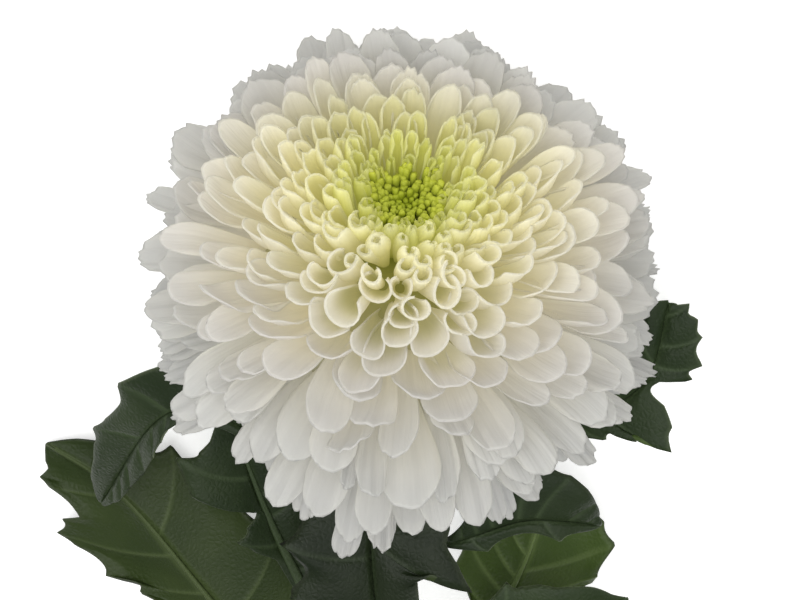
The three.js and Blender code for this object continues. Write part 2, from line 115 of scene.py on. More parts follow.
# How far buds close at their tops, how deep and wide the notches in a lip are, and a petal's thickness
CLOSED = [(15, 0.95), (24, 0.95), (29, 0.85), (35, 0.4), (41, 0)]
TEETH = [(15, 2.2), (30, 2), (40, 0.4), (60, 0.4), (75, 1.2), (130, 1.8)]
NOTCH = [(15, 0.22), (40, 0.16), (60, 0.12)]
NOTCHES_AT = (-0.36, 0.34)
THICKNESS = [(15, 0.5), (30, 0.5), (50, 0.36), (70, 0.32)]
# Reach of the petals on the outline, by their angle round it (0 is +X, 90 is the lower side)
OUTLINE = [
    (0, 1), (6, 1.04), (18, 1.01), (24, 1.06), (30, 0.8), (37, 1.04), (43, 1), (48, 0.7), (54, 0.95),
    (60, 1.05), (66, 0.76), (78, 0.76), (85, 0.86), (90, 1.01), (96, 1.03), (102, 0.7), (108, 0.82),
    (114, 1.06), (120, 0.8), (126, 0.74), (138, 0.82), (144, 1), (150, 0.9), (156, 1.02), (162, 0.9),
    (168, 1.01), (174, 0.88), (180, 0.94), (186, 0.97), (192, 0.91), (200, 1), (210, 1.02), (228, 1.02),
    (246, 1.04), (270, 1.05), (300, 1.05), (312, 1.03), (324, 1.06), (336, 1.04), (350, 0.98), (360, 1),
]
FIRST_PETAL = 14
LAST_PETAL = 129
RANK_END = 130  # polar angle at which the ranks, that colours follow, reach 1
OUTER_RANK = 0.62  # least rank on the outline
ROOT_DISTANCE = 9
ROOT_DROP = 12  # how far the roots of the outermost petals lie behind those of the others
PETAL_ROWS = 20
BACK_ROWS = 15
BACK_FROM = 100
LAST_ROW = 0.985  # share of a petal's length that its last row but one lies at, so that its lip is thin
PETAL_COLUMNS = 13
OUTER_COLUMNS = 21
PETALS_IN_PIECE = 75
PETAL_SEED = 7
# Body that the petals grow from: polar angle, distance from the flower's middle
CORE = [
    (0, 25), (18, 27), (26, 32), (34, 37), (60, 40), (90, 36), (115, 30), (135, 22), (160, 17), (180, 16),
]
CORE_SIDES = 48

# Green florets in the middle, with the height of their roots, places along a floret and its width there
FLORETS = 130
FLORET_SPREAD = 14.5
FLORET_ROOT = 27.5
FLORET_PLACES = np.array([0, 0.3, 0.6, 0.78, 0.88, 0.95, 0.99, 1])
FLORET_WIDTHS = np.array([0.5, 0.62, 0.8, 1, 1.03, 0.85, 0.5, 0.05])
FLORET_SIDES = 12
FLORET_SEED = 5

# Stem, from the flower's base to the cut, as in the CAD model
STEM_TOP = 20.8
STEM_INSIDE = 3  # how far it runs into the flower
STEM_PATH = [
    (-3.2, -46, 38.6), (-3, -85, 31), (0, -140, 24.5), (3, -200, 18.5), (4, -270, 12), (2, -340, 5.8),
    (0, -372, 3.1),
]
STEM_RADIUS = (2.7, 3.5)  # at its top and at the cut
STEM_FLARE = 0.9
FLARE_LENGTH = 9
NODE_SWELLING = 0.5
NODE_LENGTH = 3
STEM_RIBS = 11
STEM_RIB_DEPTH = 0.05
STEM_ROWS = 200
STEM_SIDES = 66
CUT_SLANT = 0.5
CUT_RINGS = np.array([1, 0.9, 0.7, 0.45, 0.2, 0.01])

# Bracts behind the petals, row by row: polar angle of base and tip, half width
BRACT_ROWS = [(172, 150, 4.2), (168, 143, 5), (163, 136, 5.4)]
BRACTS = 13
BRACT_BED = [(0, 31), (100, 33), (120, 31), (140, 24), (160, 19), (180, 18)]
BRACT_THICKNESS = 0.5
BRACT_SEED = 3

# Outline of a leaf's half. A row runs from the rib, at a share of the blade's length, to the outline: how
# far to the side and how far ahead. Shares of the half width here, millimetres in the single leaves.
BLADE = [
    (0, 0.09, 0.03), (0.04, 0.34, 0.11), (0.09, 0.27, 0.12), (0.14, 0.57, 0.23), (0.2, 0.75, 0.37),
    (0.24, 0.78, 0.45), (0.27, 0.73, 0.42), (0.31, 0.77, 0.52), (0.38, 0.35, 0.23), (0.44, 0.73, 0.46),
    (0.48, 0.86, 0.62), (0.52, 0.77, 0.6), (0.56, 0.79, 0.71), (0.64, 0.4, 0.39), (0.68, 0.57, 0.59),
    (0.71, 0.48, 0.57), (0.76, 0.44, 0.65), (0.82, 0.28, 0.48), (0.86, 0.24, 0.49), (0.93, 0.11, 0.28),
    (1, 0.01, 0.03),
]
# Each leaf leaves the stem at a distance from its top, turned about it (0 is +X, 90 is up). Its rib then
# runs through points, its upper face looks along facing, and half is its half width. Each half ends in
# LEAF_END.
# tone darkens a whole leaf: painted shade on leaves that catch more light
LEAVES = [
    dict(
        at=38, turn=0, facing=(0.1, 0.2, 1), half=21,
        through=[(27, -61, 24), (50, -53, 26), (65, -40, 29), (70, -18, 28)],
        right=[
            (0, 1.2, 0), (0.3, 4, 4), (0.38, 7.4, 6), (0.41, 5.8, 5), (0.45, 11, 7.6), (0.47, 10, 7.6),
            (0.5, 18.8, 10.6), (0.555, 13, 8.7), (0.6, 7.5, 6), (0.67, 2, 1.5), (0.69, 3, 2.3),
            (0.72, 11, 4), (0.737, 9, 3.4), (0.757, 12.2, 4.4), (0.8, 9.2, 4.6), (0.835, 10.4, 4.8),
            (0.86, 8.6, 4.8), (0.9, 8.4, 4.6), (0.925, 5.5, 4), (0.95, 5.6, 4.6), (0.975, 2, 2),
        ],
    ),
    dict(
        at=50, turn=180, facing=(-0.3, 0.3, 1), half=19, tone=0.8,
        through=[(-30, -56, 38), (-50, -44, 39), (-64, -50, 35), (-80, -86, 14)],
        right=[
            (0, 1.5, 0), (0.08, 5, 2), (0.15, 10, 4), (0.24, 12, 6), (0.28, 14, 8), (0.34, 11.5, 8),
            (0.39, 13, 9), (0.46, 9.5, 6), (0.52, 10.5, 8.5), (0.57, 12.4, 10.5), (0.64, 9.5, 8),
            (0.7, 7.5, 8), (0.8, 6, 8), (0.88, 4, 6), (0.95, 2, 3),
        ],
        left=[
            (0, 1.5, 0), (0.2, 3, 2), (0.32, 4, 3), (0.4, 6, 5), (0.48, 7, 7), (0.6, 6.5, 7), (0.72, 5, 7),
            (0.8, 4.6, 7), (0.88, 3, 5), (0.95, 1.5, 3),
        ],
    ),
    dict(
        at=66, turn=10, facing=(0.2, 0, 1), half=18, tone=0.8,
        through=[(14, -84, 38), (32, -78, 38), (44, -79, 36), (54, -83, 31)],
        left=[
            (0, 1.5, 0), (0.1, 6, 2), (0.2, 14, 4), (0.3, 17, 5), (0.38, 19, 7), (0.45, 19, 9),
            (0.55, 15, 8.5), (0.62, 12, 8.5), (0.75, 7, 6), (0.88, 3, 3),
        ],
        right=[
            (0, 1.5, 0), (0.15, 5, 3), (0.3, 3, 2), (0.45, 3.2, 2), (0.6, 5.6, 5), (0.72, 3, 4),
            (0.85, 2, 2),
        ],
    ),
    dict(
        at=92, turn=90, facing=(0, -0.3, 1), half=25, tone=0.45,
        through=[(-4, -106, 43), (-6, -96, 45), (-7, -82, 42), (-6, -70, 37)],
        left=[
            (0, 3, 0), (0.06, 9, 0), (0.14, 15, 2), (0.24, 23, 5), (0.33, 22.5, 3), (0.42, 18, 4),
            (0.5, 21, 5), (0.56, 25, 6), (0.63, 20, 6), (0.72, 18, 5), (0.8, 14, 4), (0.9, 8, 3),
        ],
        right=[
            (0, 3, 0), (0.06, 12, 4), (0.28, 12, 4), (0.52, 16, -3), (0.64, 22.5, -10), (0.7, 28, -14),
            (0.76, 24, -8), (0.82, 20, -4), (0.87, 21, 0), (0.92, 18, 2), (0.96, 10, 2),
        ],
    ),
    dict(
        at=112, turn=180, facing=(0.4, 0, 1), half=22, rib=1.35, rib_lift=0.6, tone=0.8,
        through=[(-17, -126, 24), (-27, -105, 22), (-36, -82, 22), (-46, -50, 22)],
        left=[
            (0, 1.2, 0), (0.28, 3, 3), (0.32, 8, 6), (0.36, 11.5, 8), (0.43, 7, 5), (0.5, 2.5, 3),
            (0.52, 8, 5), (0.54, 13, 7), (0.56, 18, 11), (0.61, 18, 14), (0.66, 18.5, 16), (0.72, 12, 10),
            (0.8, 8, 6), (0.9, 4, 3),
        ],
        right=[
            (0, 1.2, 0), (0.1, 8, 4), (0.22, 13, 7), (0.34, 15, 8), (0.48, 12, 6), (0.58, 9, 5), (0.8, 8, 6),
            (0.9, 5, 4),
        ],
    ),
    dict(
        at=128, turn=0, facing=(0, 0, -1), half=23,
        through=[(20, -135, 17), (33, -106, 17), (38, -91, 17), (44, -77, 14)],
        left=[
            (0, 1.2, 0), (0.1, 6, 4), (0.2, 12, 8), (0.28, 17, 11), (0.33, 21.4, 13.5), (0.38, 21.6, 13.5),
            (0.44, 21, 13), (0.52, 22, 16.5), (0.6, 17.5, 15), (0.7, 12, 10), (0.8, 8, 6), (0.9, 4, 3),
        ],
        right=[
            (0, 1.2, 0), (0.1, 5, 4), (0.18, 9, 6.5), (0.22, 12.8, 8), (0.27, 17, 9), (0.32, 17, 9.5),
            (0.38, 18, 13), (0.48, 13, 11), (0.6, 8, 8), (0.75, 6, 5), (0.9, 3, 3),
        ],
    ),
    dict(
        at=148, turn=190, facing=(0, 0.1, -1), half=25, tone=0.45,
        through=[(-30, -147, 14), (-51, -117, 13), (-75, -86, 9), (-95, -73, 4)],
        right=[
            (0, 1.5, 0), (0.08, 7, 5), (0.18, 11, 8), (0.3, 13, 10), (0.36, 17, 13.5), (0.38, 15.2, 13.4),
            (0.405, 23, 17.5), (0.44, 21.4, 16.5), (0.5, 25, 19.5), (0.54, 26.5, 21.6), (0.61, 21, 18),
            (0.66, 15.5, 11), (0.71, 14.4, 12.4), (0.76, 15, 14.4), (0.8, 14.2, 15), (0.86, 9, 10),
            (0.93, 6.5, 5),
        ],
        left=[
            (0, 1.5, 0), (0.08, 14, 7), (0.2, 27, 14), (0.3, 27, 15.5), (0.42, 24, 15.5), (0.52, 19, 13.4),
            (0.57, 18.5, 16), (0.61, 19, 18.5), (0.68, 14, 14), (0.75, 10, 10), (0.8, 8, 10), (0.87, 5.5, 7),
            (0.93, 3, 4),
        ],
    ),
    dict(
        at=152, turn=40, facing=(0, 0.2, 1), half=21,
        through=[(14, -148, 31), (33, -120, 34), (46, -108, 36), (61, -106, 30)],
        left=[
            (0, 1.2, 0), (0.12, 7, 4), (0.25, 13, 7), (0.38, 18, 10), (0.45, 19.5, 11), (0.5, 17.6, 10.5),
            (0.56, 18, 12), (0.6, 14.6, 9.5), (0.66, 12, 9), (0.7, 9.5, 7.5), (0.8, 5.5, 6.5), (0.9, 2.5, 3),
        ],
    ),
    dict(
        at=176, turn=110, facing=(-0.2, 0.3, 1), half=22,
        through=[(-14, -180, 32), (-34, -163, 38), (-54, -150, 26)],
    ),
    dict(
        at=205, turn=345, facing=(0.1, 0.2, 1), half=22,
        through=[(22, -208, 18), (45, -190, 18), (66, -172, 6)],
    ),
    dict(
        at=233, turn=195, facing=(-0.1, 0.2, 1), half=21,
        through=[(-16, -236, 15), (-38, -218, 15), (-58, -198, 5)],
    ),
    dict(
        at=262, turn=60, facing=(-0.3, -0.3, 1), half=20,
        through=[(14, -268, 26), (30, -252, 30), (48, -236, 18)],
    ),
]
LEAF_END = (1, 0.2, 0)
VEIN_GAP = 0.07
TOOTH_POINT = 2.1
VEIN_BOW = 0.08
STALK_SHARE = 0.24
STALK_STEP = 4
STALK_ROWS = 80
STALK_SIDES = 16
STALK_RADIUS = 1.25
LEAF_FOLD = math.radians(16)
LEAF_WAVE = 0.07
LEAF_CURL = 0.05
LEAF_THICKNESS = 0.5
LEAF_FLOOR = 0.6  # lowest middle of a blade
FLOOR_GAP = 0.1  # lowest point of a leaf
LEAF_COLUMNS = 12
ROW_STEP = 0.65  # between a blade's rows

# Picture, with its middle, the lamps' distance and the table's reach in metres
PICTURE_WIDTH = 800
PICTURE_MIDDLE = Vector((0, 0, 0.058))
PIXELS_PER_MM = 4
SENSOR = 36  # mm
CAMERA_DISTANCE = 1000
CAMERA_HEIGHT = math.radians(63)
SHIFT = (2, -7)  # pixels
LAMP_DISTANCE = 1
TABLE_REACH = 3
TABLE_GLOW = 0.45
WORLD_LIGHT = 0.45


def look_up(table, at):
    """Straight lines through a table of (position, value) rows."""
    return np.interp(at, [row[0] for row in table], [row[1] for row in table])


def smooth(start, end, value):
    t = np.clip((value - start) / (end - start), 0, 1)
    return t * t * (3 - 2 * t)


def unit(vectors):
    return vectors / np.maximum(np.linalg.norm(vectors, axis=-1, keepdims=True), 1e-9)


def face_normals(grid):
    return unit(np.cross(np.gradient(grid, axis=0), np.gradient(grid, axis=1)))


def circle(sides):
    """Angles round a circle, with the first place again at the end."""
    return np.linspace(0, 2 * math.pi, sides + 1)


def head_frame():
    """Rows: the flower's own x, y and axis in the part's frame."""
    axis = np.array([
        math.sin(HEAD_YAW) * math.cos(HEAD_TILT),
        math.cos(HEAD_YAW) * math.cos(HEAD_TILT),
        math.sin(HEAD_TILT),
    ])
    side = unit(np.cross(axis, [0, 0, 1]))
    return np.stack([side, np.cross(side, axis), axis])


HEAD = head_frame()


def in_part(points):
    """Points of the flower's frame in the part's frame, pressed where they meet the table."""
    placed = points @ HEAD + HEAD_MIDDLE
    depth = SOFT_HEIGHT - placed[..., 2]
    pressed = np.where(depth > 0, SOFT_LIMIT * np.tanh(depth / SOFT_LIMIT), depth)
    placed[..., :2] += HEAD[2, :2] * ((pressed - depth) * SLIDE)[..., None]
    placed[..., 2] = SOFT_HEIGHT - pressed
    return placed


def new_object(name, data):
    made = bpy.data.objects.new(name, data)
    bpy.context.scene.collection.objects.link(made)
    return made


class Pile:
    """Closed shells gathered into one mesh, with values at their points."""

    def __init__(self):
        self.points = []
        self.faces = []
        self.values = []
        self.count = 0

    def add(self, points, faces, **values):
        self.points.append(points)
        self.faces.append(faces + self.count)
        self.values.append({key: np.broadcast_to(value, len(points)) for key, value in values.items()})
        self.count += len(points)

    def add_grid(self, grid, turned_over=False, **values):
        faces = grid_faces(*grid.shape[:2])
        self.add(grid.reshape(-1, 3), faces[:, ::-1] if turned_over else faces, **values)

    def piece(self, name, material, slot, *nodes):
        points = np.concatenate(self.points) * MM
        faces = np.concatenate(self.faces)
        mesh = bpy.data.meshes.new(name)
        mesh.vertices.add(len(points))
        mesh.vertices.foreach_set("co", points.astype(np.float32).ravel())
        mesh.loops.add(faces.size)
        mesh.loops.foreach_set("vertex_index", faces.astype(np.int32).ravel())
        mesh.polygons.add(len(faces))
        mesh.polygons.foreach_set("loop_start", np.arange(0, faces.size, 4, dtype=np.int32))
        mesh.polygons.foreach_set("use_smooth", np.ones(len(faces), bool))
        mesh.update()
        mesh.validate()
        for key in self.values[0]:
            layer = mesh.attributes.new(key, "FLOAT", "POINT")
            data = np.concatenate([value[key] for value in self.values])
            layer.data.foreach_set("value", data.astype(np.float32))
        mesh.materials.append(material)
        piece = new_object(name, mesh)
        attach(piece, "root")
        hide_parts(*nodes)


def grid_faces(rows, columns):
    first = np.arange(rows - 1)[:, None] * columns + np.arange(columns - 1)
    return np.stack([first, first + 1, first + columns + 1, first + columns], axis=-1).reshape(-1, 4)


def border(rows, columns):
    """Indices of a grid's edge points, in order round it."""
    return np.concatenate([
        np.arange(columns),
        np.arange(1, rows) * columns + columns - 1,
        (rows - 1) * columns + np.arange(columns - 2, -1, -1),
        np.arange(rows - 2, 0, -1) * columns,
    ])


def shell(upper, lower):
    """Points and faces of a closed shell between two grids, with a round rim. Values follow source."""
    rows, columns = upper.shape[:2]
    size = rows * columns
    top = upper.reshape(-1, 3)
    bottom = lower.reshape(-1, 3)
    edge = border(rows, columns)
    after = np.roll(edge, -1)
    along = top[after] - top[np.roll(edge, 1)]
    through = top[edge] - bottom[edge]
    out = unit(np.cross(along, through))
    middle = (top[edge] + bottom[edge]) / 2
    depth = np.linalg.norm(through, axis=1, keepdims=True) / 2
    rim = middle + out * depth
    ring = np.arange(len(edge)) + 2 * size
    ring_after = np.roll(ring, -1)
    sheet = grid_faces(rows, columns)
    faces = np.concatenate([
        sheet,
        sheet[:, ::-1] + size,
        np.stack([edge, ring, ring_after, after], axis=1),
        np.stack([ring, edge + size, after + size, ring_after], axis=1),
    ])
    source = np.concatenate([np.arange(size), np.arange(size), edge])
    return np.concatenate([top, bottom, rim]), faces, source


def bezier(corners, t):
    a, b, c, d = corners
    t = t[:, None]
    return (1 - t) ** 3 * a + 3 * (1 - t) ** 2 * t * b + 3 * (1 - t) * t**2 * c + t**3 * d


def from_middle(slopes, x):
    """Sum of slopes over x, from the middle column to each side."""
    steps = (slopes[:, 1:] + slopes[:, :-1]) / 2 * np.diff(x)
    total = np.concatenate([np.zeros((len(slopes), 1)), np.cumsum(steps, axis=1)], axis=1)
    return total - total[:, total.shape[1] // 2, None]


def direction(degrees):
    return np.array([math.sin(math.radians(degrees)), math.cos(math.radians(degrees))])


def petal_spine(psi, reach, recurve):
    """Middle line of a petal in the plane through the axis: distance from the axis, height."""
    root = ROOT_DISTANCE * direction(psi * 0.8) - [0, ROOT_DROP * smooth(60, 127, psi)]
    tip = reach * direction(psi)
    chord = np.linalg.norm(tip - root)
    leaving = direction(psi * 0.86 - recurve * 0.35)
    arriving = direction(psi + recurve)
    corners = [root, root + leaving * chord * 0.38, tip - arriving * chord * 0.34, tip]
    line = bezier(corners, np.linspace(0, 1, 60))
    steps = np.linalg.norm(np.diff(line, axis=0), axis=1)
    return line, np.concatenate([[0], np.cumsum(steps)])


class Petal:
    """One ray petal in the flower's own frame. Its random draws come in the order of the calls below."""

    def __init__(self, psi, azimuth, random):
        self.psi = psi
        self.azimuth = azimuth
        self.random = random
        self.outer = smooth(55, 95, psi)
        self.stand()
        self.measure()
        columns = OUTER_COLUMNS if self.on_outline > 0.5 or self.loops > 0.3 else PETAL_COLUMNS
        self.x = np.sin(np.linspace(-math.pi / 2, math.pi / 2, columns))[None, :]
        rows = PETAL_ROWS if psi < BACK_FROM else BACK_ROWS
        self.share = np.sort(np.append(np.linspace(0, 1, rows - 1) ** 0.85, LAST_ROW))[:, None]
        self.s = self.share * self.end()
        self.grid = self.place(*self.section())
        edge = smooth(0.72, 1, np.abs(self.x)) * smooth(0.35, 0.6, self.s)
        self.rim = np.maximum(edge, smooth(0.93, 1, self.share))

    def shape(self, key):
        return look_up(LOOP[key], self.psi) * self.loops + look_up(BOAT[key], self.psi) * (1 - self.loops)

    def spread(self, key):
        inner, more, start, end = SPREAD[key]
        return inner + more * smooth(start, end, self.psi)

    def stand(self):
        """Where the petal stands, seen from the camera: on the outline, at its bottom (low, hanging) or
        elsewhere (flat), above the middle (high), among the trumpets (loops). Shares from 0 to 1."""
        out, up = direction(self.psi)
        lean = out * math.sin(self.azimuth)
        below, above = direction(LOOPS_AT)
        self.facing = lean * below + up * above
        down = lean * above - up * below
        self.round_outline = math.degrees(math.atan2(down, out * math.cos(self.azimuth))) % 360
        lower = math.sin(math.radians(self.round_outline))
        self.on_outline = 1 - smooth(0.15, 0.5, self.facing)
        self.low = smooth(0.2, 0.6, lower) * self.on_outline
        self.flat = self.on_outline - self.low
        self.high = smooth(0.2, 0.8, -math.sin(self.azimuth)) * (1 - self.on_outline)
        self.hanging = smooth(0.1, 0.5, lower) * smooth(55, 78, self.psi)
        self.loops = 1 - smooth(*LOOPS_WITHIN, math.degrees(math.acos(min(self.facing, 1))))

    def measure(self):
        """Reach, half width and middle line."""
        psi = self.psi
        normal = self.random.normal
        uneven = np.clip(normal(0, 1), -1.8, 1.3) * self.spread("reach")
        reach = look_up(REACH, psi) * (1 + uneven)
        reach = reach * (1 + (look_up(OUTLINE, self.round_outline) - 1) * self.on_outline)
        recurve = look_up(RECURVE, psi) + normal(0, self.spread("recurve"))
        self.half = self.shape("half") * (1 + normal(0, self.spread("half")))
        narrow = 0.1 * self.low + 0.16 * self.hanging + (0.14 + 0.12 * smooth(28, 40, psi)) * self.high
        self.half = self.half * (1 - narrow)
        self.line, self.arc = petal_spine(psi, reach, recurve * (1 - 0.6 * self.flat))
        self.length = self.arc[-1]

    def end(self):
        """Share of the length that each column runs to: a lip, longest in the middle, notched, toothed."""
        x = self.x
        random = self.random
        lip = self.shape("lip") * self.half * LIP_LENGTH / self.length * (1 + random.normal(0, 0.15))
        lip = lip * (1 - 0.6 * math.sin(self.azimuth) * (1 - self.outer)) * (1 - 0.4 * self.flat)
        end = 1 - np.minimum(lip, 0.5) * (1 - np.sqrt(1 - x**2))
        depth = look_up(TEETH, self.psi) * random.uniform(0.3, 1.3) / self.length
        for middle in NOTCHES_AT:
            at = middle + random.normal(0, 0.07)
            notch = np.exp(-(((x - at) / look_up(NOTCH, self.psi)) ** 2))
            end = end - depth * random.uniform(0.3, 1) * notch
        teeth = np.abs(np.sin(x * random.uniform(5, 9) + 1.5 * np.sin(2 * x) + random.uniform(0, 6)))
        ragged = (0.2 * self.on_outline + 0.9 * self.flat) * random.uniform(0.5, 1.3) * teeth
        return end - ragged / self.length

    def closing(self):
        """Half the angle of each row's arc, from the root through the tube and the mouth to the tip."""
        normal = self.random.normal
        s = self.s
        tube = self.shape("tube") * (1 + normal(0, 0.05))
        mouth = self.shape("mouth") * (1 - abs(normal(0, 0.12)))
        mouth = mouth * (1 - 0.35 * self.flat - 0.5 * self.hanging)
        tip = self.shape("tip") * (1 - 0.6 * self.flat) - 0.4 * self.hanging
        tip = tip + normal(0, self.spread("tip"))
        closing = ROOT_CLOSING + (tube - ROOT_CLOSING) * smooth(0.1, 0.4, s)
        closing = closing + (mouth - tube) * smooth(0.45, 0.84, s)
        return closing + (tip - mouth) * smooth(0.8, 1, s), tube > TUBE_CLOSING

    def section(self):
        """Each row's section: across the petal and height, by its slope from the middle to both edges."""
        psi, x, s, share = self.psi, self.x, self.s, self.share
        random = self.random
        full = self.half * (NARROW_ROOT + (1 - NARROW_ROOT) * smooth(0.3, 0.92, s))
        # a bud's top closes like a dome, and a trumpet's mouth flares
        dome = 1 - np.sqrt(1 - np.clip((share - BUD_TOP) / (1 - BUD_TOP), 0, 1) ** 2 * 0.99)
        closed = look_up(CLOSED, psi) * (0.4 + 0.6 * self.loops) * random.uniform(0.8, 1) * dome
        width = full * (1 - closed + self.shape("flare") * smooth(0.88, 1, share) ** 2)
        closing, tubular = self.closing()
        wobble = np.sin(x * random.uniform(4, 7) + random.uniform(0, 6)) * smooth(0.4, 0.9, s)
        slope = closing * x + (0.06 + 0.12 * self.loops) * wobble
        across = width * from_middle(np.cos(slope), x)
        height = width * from_middle(np.sin(slope), x) + (full - width) / closing * tubular
        bend = self.half * TIP_BEND
        height = height + self.shape("curl") * (1 - self.flat) * bend * smooth(0.78, 1, s) ** 2
        height = height + random.normal(0, 0.45) * smooth(48, 60, psi) * bend * smooth(0.8, 1, s) ** 2
        # creases along the petal
        depth = 0.05 + 0.1 * smooth(40, 55, psi) + 0.1 * self.outer + 0.25 * self.hanging
        depth = depth * random.uniform(0.5, 1.5) * smooth(0.3, 0.75, s)
        height = height + depth * np.cos(x * math.pi * random.uniform(2.2, 3.6) + random.normal(0, 0.6))
        roll = random.normal(0, 0.17) * smooth(0.3, 1, s)
        return across * np.cos(roll) - height * np.sin(roll), across * np.sin(roll) + height * np.cos(roll)

    def place(self, across, height):
        """Points of the sections, set on the middle line."""
        at = self.s * self.length
        run = np.gradient(self.line, axis=0)
        out, up, run_out, run_up = (np.interp(at, self.arc, column) for column in (*self.line.T, *run.T))
        size = np.hypot(run_out, run_up)
        across = across + self.random.normal(0, 0.05) * at * self.s
        return np.stack([out - run_up / size * height, across, up + run_out / size * height], axis=2)

    def faces(self):
        """Inner and outer face, half the thickness away from the grid."""
        thick = look_up(THICKNESS, self.psi) * (1 + self.shape("bead") * self.rim)
        lift = face_normals(self.grid) * (thick / 2)[..., None]
        return self.grid + lift, self.grid - lift

    def values(self):
        """What the material is told at each point of the grid."""
        # painted shade inside the trumpets and inner petals, fading out towards their lips
        hollow = self.loops + 0.4 * (1 - self.loops) * (1 - smooth(40, 60, self.psi))
        rank = self.psi / RANK_END
        rank = rank + max(OUTER_RANK - rank, 0) * (1 - smooth(0, 0.42, self.facing))
        # colour that differs at random, with painted shade: petals above the middle are darker, and flat
        # ones on the outline darker at random
        tone = self.random.uniform(0.7, 1) * (1 - self.high * smooth(20, 35, self.psi))
        tone = tone * (1 - self.random.uniform(0, 1) * self.flat)
        hollow = hollow * (1 - smooth(0.7, 0.96, self.s))
        kind = self.random.uniform(0, 50)
        values = dict(
            along=self.s, side=self.x, rim=self.rim, hollow=hollow, rank=rank, tone=tone, kind=kind,
        )
        return {key: np.broadcast_to(value, self.s.shape).ravel() for key, value in values.items()}


def turned(points, azimuth):
    c, s = math.cos(azimuth), math.sin(azimuth)
    x = points[..., 0] * c - points[..., 1] * s
    y = points[..., 0] * s + points[..., 1] * c
    return np.stack([x, y, points[..., 2]], axis=-1)


def petal_angles():
    """Polar angles that give each petal its own patch of the flower's surface."""
    steps = np.linspace(FIRST_PETAL, LAST_PETAL, 4000)
    ring = 2 * np.pi * look_up(REACH, steps) ** 2 * np.sin(np.radians(steps)) / look_up(SPACING, steps) ** 2
    patches = np.concatenate([[0], np.cumsum((ring[1:] + ring[:-1]) / 2 * np.radians(np.diff(steps)))])
    return np.interp(np.arange(int(patches[-1])) + 0.5, patches, steps)


def add_petal(pile, petal):
    inner, outer = petal.faces()
    points, faces, source = shell(turned(inner, petal.azimuth), turned(outer, petal.azimuth))
    values = {key: value[source] for key, value in petal.values().items()}
    # painted shade: a petal is darker only on its inner face, and half as dark on its rim
    size = petal.s.size
    values["hollow"] = values["hollow"] * np.repeat([1, 0, 0.5], [size, size, len(points) - 2 * size])
    pile.add(in_part(points), faces[:, ::-1], **values)


def make_petals(material):
    random = np.random.default_rng(PETAL_SEED)
    angles = petal_angles()
    for first in range(0, len(angles), PETALS_IN_PIECE):
        pile = Pile()
        for i in range(first, min(first + PETALS_IN_PIECE, len(angles))):
            azimuth = HEAD_ROLL + i * GOLDEN_ANGLE + random.normal(0, 0.05)
            add_petal(pile, Petal(angles[i], azimuth, random))
        pile.piece(f"petals_{first // PETALS_IN_PIECE + 1}", material, "petal", "bloom")


def make_core(material):
    """Pale body that the petals grow from, seen only through the gaps between them."""
    turn = circle(CORE_SIDES)
    line = np.array([distance * direction(psi) for psi, distance in CORE])
    out, up = line.T[..., None]
    grid = in_part(np.stack([out * np.cos(turn), out * np.sin(turn), up + 0 * turn], axis=2))
    ranks = np.repeat([psi / RANK_END for psi, _ in CORE], len(turn))
    pile = Pile()
    pile.add_grid(grid, along=0.3, rim=0, hollow=0, rank=ranks, tone=0.5, side=0, kind=0)
    pile.piece("petal_core", material, "petal", "bloom")


def round_line(line, side, up, turn, radii):
    """Grid of points round a line, at the angles turn and as far off as radii says."""
    return (
        line[:, None]
        + side[:, None] * (np.cos(turn) * radii)[..., None]
        + up[:, None] * (np.sin(turn) * radii)[..., None]
    )


def tube(line, radii, sides):
    run = unit(np.gradient(line, axis=0))
    side = unit(np.cross([0, 0, 1], run))
    return round_line(line, side, np.cross(run, side), circle(sides), radii)


def make_florets(material):
    """Closed green tubes with two or three small lobes at their tops."""
    random = np.random.default_rng(FLORET_SEED)
    pile = Pile()
    for i in range(FLORETS):
        psi = math.sqrt((i + 0.5) / FLORETS) * FLORET_SPREAD
        azimuth = i * GOLDEN_ANGLE + random.normal(0, 0.1)
        reach = look_up(REACH, psi) + random.normal(0, 0.7) - 0.6
        radius = (0.68 + 0.3 * psi / FLORET_SPREAD) * (1 + random.normal(0, 0.1))
        out, up = reach * direction(psi)
        top = np.array([out, 0, up])
        root = np.array([out * 0.6, 0, FLORET_ROOT])
        line = root + (top - root) * FLORET_PLACES[:, None]
        lobes = random.integers(2, 4)
        turn = circle(FLORET_SIDES) + random.uniform(0, 6)
        swell = 1 + 0.16 * smooth(0.7, 0.95, FLORET_PLACES)[:, None] * np.cos(lobes * turn)
        grid = tube(line, FLORET_WIDTHS[:, None] * radius * swell, FLORET_SIDES)
        # the top sinks between the lobes
        grid[..., 2] -= (0.5 * radius * smooth(0.94, 1, FLORET_PLACES))[:, None]
        pile.add_grid(
            in_part(turned(grid, azimuth)),
            turned_over=True,
            along=np.repeat(FLORET_PLACES, len(turn)),
            rank=psi / FLORET_SPREAD,
            tone=random.uniform(0, 1),
        )
    pile.piece("florets", material, "floret", "centre_florets")


def read(arc, rows, at):
    """Rows along a curve, read at distances on it."""
    return np.stack([np.interp(at, arc, column) for column in rows.T], axis=-1)


